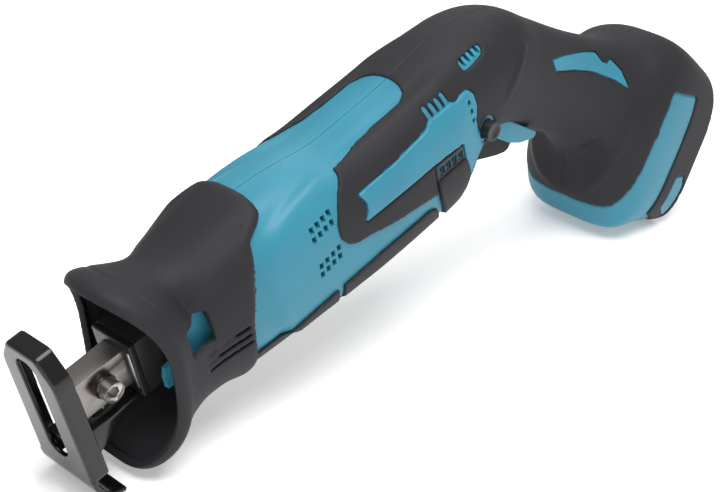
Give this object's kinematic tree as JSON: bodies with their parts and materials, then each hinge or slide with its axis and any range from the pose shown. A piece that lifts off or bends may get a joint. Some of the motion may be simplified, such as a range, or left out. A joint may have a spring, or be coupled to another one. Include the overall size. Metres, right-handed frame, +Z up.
{
  "type": "reciprocating saw",
  "caption": "Compact cordless reciprocating saw: slim body with boot, shoe and reciprocating bar at the front, angled grip and pack foot behind; bare tool.",
  "frame": {"origin": "middle of the tool's box on the surface it stands on", "axes": "+X forward towards the shoe, +Y to the tool's left, +Z up; the tool stands on the toe of its foot and its shoe, so the stroke axis slopes down to the front"},
  "size_m": [0.3822, 0.067, 0.1295],
  "materials": {
    "teal_plastic": "fine moulded texture",
    "rubber": "soft matt overmould",
    "black_plastic": "satin moulded",
    "shoe_paint": "gloss black",
    "brushed_steel": "ground",
    "bright_steel": "polished",
    "bronze": "sintered",
    "copper": "drawn",
    "die_cast": "as cast",
    "core_steel": "laminated",
    "board_green": "solder mask",
    "carbon": "pressed carbon"
  },
  "bodies": {
    "tool": {"housing_left": "teal_plastic", "housing_right": "teal_plastic", "front_boot": "rubber", "gear_case": "die_cast", "nose_tube": "black_plastic", "nose_cover": "black_plastic", "guide_front": "bronze", "guide_rear": "bronze", "dust_seal": "rubber", "crank_bearing": "bright_steel", "bearing_front": "bright_steel", "bearing_rear": "bright_steel", "motor_can": "core_steel", "stator_magnets": "core_steel", "motor_end_bell": "black_plastic", "brush_holders": "bronze", "carbon_brushes": "carbon", "switch_body": "black_plastic", "control_board": "board_green", "terminal_block": "black_plastic", "terminal_blades": "bronze", "battery_rails": "black_plastic", "power_leads": "black_plastic", "housing_screws": "brushed_steel", "screw_posts": "teal_plastic", "shoe_plate": "shoe_paint", "shoe_arm": "shoe_paint", "shoe_screws": "brushed_steel", "grip_left": "rubber", "grip_right": "rubber", "side_panel_left": "teal_plastic", "side_panel_right": "teal_plastic", "handle_inlays": "teal_plastic", "foot_band": "teal_plastic", "foot_badges": "teal_plastic", "underside_front": "rubber", "underside_rear": "rubber", "rear_vents": "black_plastic"},
    "slider": {"slider": "brushed_steel"},
    "clamp_screw": {"clamp_screw": "bright_steel", "clamp_collar": "bright_steel"},
    "crank": {"crank_gear": "brushed_steel", "crank_roller": "bright_steel"},
    "motor": {"pinion": "brushed_steel", "motor_shaft": "bright_steel", "armature_core": "core_steel", "armature_windings": "copper", "commutator": "copper", "cooling_fan": "black_plastic"},
    "trigger": {"trigger": "black_plastic", "switch_plunger": "bright_steel"},
    "lock_off": {"lock_off_button": "black_plastic"}
  },
  "joints": [
    {"name": "slider_stroke", "type": "slide", "parent": "tool", "child": "slider", "axis": [0.9603, 0, -0.279], "range_m": [-0.00645, 0.00645]},
    {"name": "clamp_screw_turn", "type": "hinge", "parent": "slider", "child": "clamp_screw", "pos_m": [0.16177, 0.00516, 0.04173], "axis": [0, 1, 0], "range_deg": [0, 540]},
    {"name": "crank_spin", "type": "hinge", "parent": "tool", "child": "crank", "pos_m": [0.07015, 0, 0.05312], "axis": [0.279, 0, 0.9603], "continuous": true},
    {"name": "motor_spin", "type": "hinge", "parent": "tool", "child": "motor", "pos_m": [0.02456, 0, 0.07496], "axis": [0.9603, 0, -0.279], "continuous": true},
    {"name": "trigger_pull", "type": "slide", "parent": "tool", "child": "trigger", "axis": [-0.4818, 0, 0.8763], "range_m": [0, 0.00516], "stiffness_N_per_m": 600, "springref_m": -0.003},
    {"name": "lock_off_push", "type": "slide", "parent": "tool", "child": "lock_off", "axis": [0, -1, 0], "range_m": [0, 0.00344]}
  ],
  "couplings": [
    {"joint": "motor_spin", "follows": "crank_spin", "ratio": -5}
  ]
}
